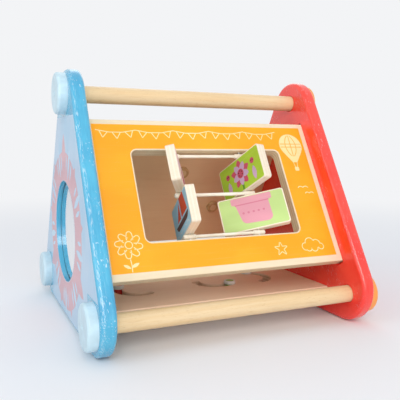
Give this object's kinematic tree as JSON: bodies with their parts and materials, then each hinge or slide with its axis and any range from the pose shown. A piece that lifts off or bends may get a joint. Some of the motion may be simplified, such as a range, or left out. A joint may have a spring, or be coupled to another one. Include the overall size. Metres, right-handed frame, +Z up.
{
  "type": "wooden activity triangle",
  "caption": "Triangular wooden activity toy: two painted end plates, a carrying bar, turning picture blocks, meshing gears, sliding knobs and a mirror.",
  "frame": {"origin": "middle of the footprint, on the ground under the end plates", "axes": "+X from the blue plate to the red plate along the bars, +Y to the rear, +Z up"},
  "size_m": [0.31, 0.2952, 0.2655],
  "materials": {
    "blue_paint": "glossy blue paint",
    "red_paint": "glossy red paint",
    "mirror_sheet": "plastic mirror sheet",
    "bar_wood": "smooth clear-coated beech",
    "pale_blue_paint": "satin pale blue paint",
    "amber_paint": "satin amber paint",
    "orange_print": "plywood with an orange printed field",
    "plywood": "clear-coated plywood",
    "axle_steel": "drawn wire",
    "cream_plastic": "moulded cream plastic",
    "block_wood": "plywood with printed faces",
    "yellow_paint": "satin yellow paint",
    "green_paint": "satin green paint",
    "red_knob_paint": "satin red paint",
    "blue_knob_paint": "satin blue paint",
    "white_paint": "satin white paint"
  },
  "bodies": {
    "housing": {"left_plate": "blue_paint", "right_plate": "red_paint", "mirror": "mirror_sheet", "top_bar": "bar_wood", "front_bar": "bar_wood", "rear_bar": "bar_wood", "left_top_cap": "pale_blue_paint", "left_front_cap": "pale_blue_paint", "left_rear_cap": "pale_blue_paint", "right_top_cap": "amber_paint", "right_front_cap": "amber_paint", "right_rear_cap": "amber_paint", "front_panel": "orange_print", "rear_panel": "plywood", "floor_panel": "plywood", "left_axle": "axle_steel", "right_axle": "axle_steel", "top_spacer": "cream_plastic", "middle_spacer": "cream_plastic", "bottom_spacer": "cream_plastic", "large_gear_peg": "bar_wood", "small_gear_peg": "bar_wood", "large_gear_washer": "bar_wood", "small_gear_washer": "bar_wood"},
    "upper_left_block": {"upper_left_block": "block_wood"},
    "lower_left_block": {"lower_left_block": "block_wood"},
    "upper_right_block": {"upper_right_block": "block_wood"},
    "lower_right_block": {"lower_right_block": "block_wood"},
    "large_gear": {"large_gear": "yellow_paint"},
    "small_gear": {"small_gear": "green_paint"},
    "left_track_runner": {"left_track_knob": "red_knob_paint", "left_track_disc": "white_paint"},
    "middle_track_runner": {"middle_track_knob": "green_paint", "middle_track_disc": "white_paint"},
    "right_track_runner": {"right_track_knob": "blue_knob_paint", "right_track_disc": "white_paint"}
  },
  "joints": [
    {"name": "upper_left_block_spin", "type": "hinge", "parent": "housing", "child": "upper_left_block", "pos_m": [-0.0395, -0.05223, 0.15671], "axis": [0, 0.5, 0.866], "continuous": true},
    {"name": "lower_left_block_spin", "type": "hinge", "parent": "housing", "child": "lower_left_block", "pos_m": [-0.0395, -0.07498, 0.1173], "axis": [0, 0.5, 0.866], "continuous": true},
    {"name": "upper_right_block_spin", "type": "hinge", "parent": "housing", "child": "upper_right_block", "pos_m": [0.0395, -0.05223, 0.15671], "axis": [0, 0.5, 0.866], "continuous": true},
    {"name": "lower_right_block_spin", "type": "hinge", "parent": "housing", "child": "lower_right_block", "pos_m": [0.0395, -0.07498, 0.1173], "axis": [0, 0.5, 0.866], "continuous": true},
    {"name": "large_gear_spin", "type": "hinge", "parent": "housing", "child": "large_gear", "pos_m": [0.006, 0.06123, 0.16392], "axis": [0, 0.866, 0.5], "continuous": true},
    {"name": "small_gear_spin", "type": "hinge", "parent": "housing", "child": "small_gear", "pos_m": [0.06045, 0.08845, 0.11677], "axis": [0, 0.866, 0.5], "continuous": true},
    {"name": "left_track_slide", "type": "hinge", "parent": "housing", "child": "left_track_runner", "pos_m": [-0.073, -0.017, 0.0307], "axis": [0, 0, -1], "range_deg": [-145, 0]},
    {"name": "middle_track_slide", "type": "hinge", "parent": "housing", "child": "middle_track_runner", "pos_m": [0.02, -0.017, 0.0307], "axis": [0, 0, -1], "range_deg": [0, 145]},
    {"name": "right_track_slide", "type": "hinge", "parent": "housing", "child": "right_track_runner", "pos_m": [0.068, -0.017, 0.0307], "axis": [0, 0, -1], "range_deg": [0, 145]}
  ],
  "couplings": [
    {"joint": "small_gear_spin", "follows": "large_gear_spin", "ratio": -1.3333}
  ]
}
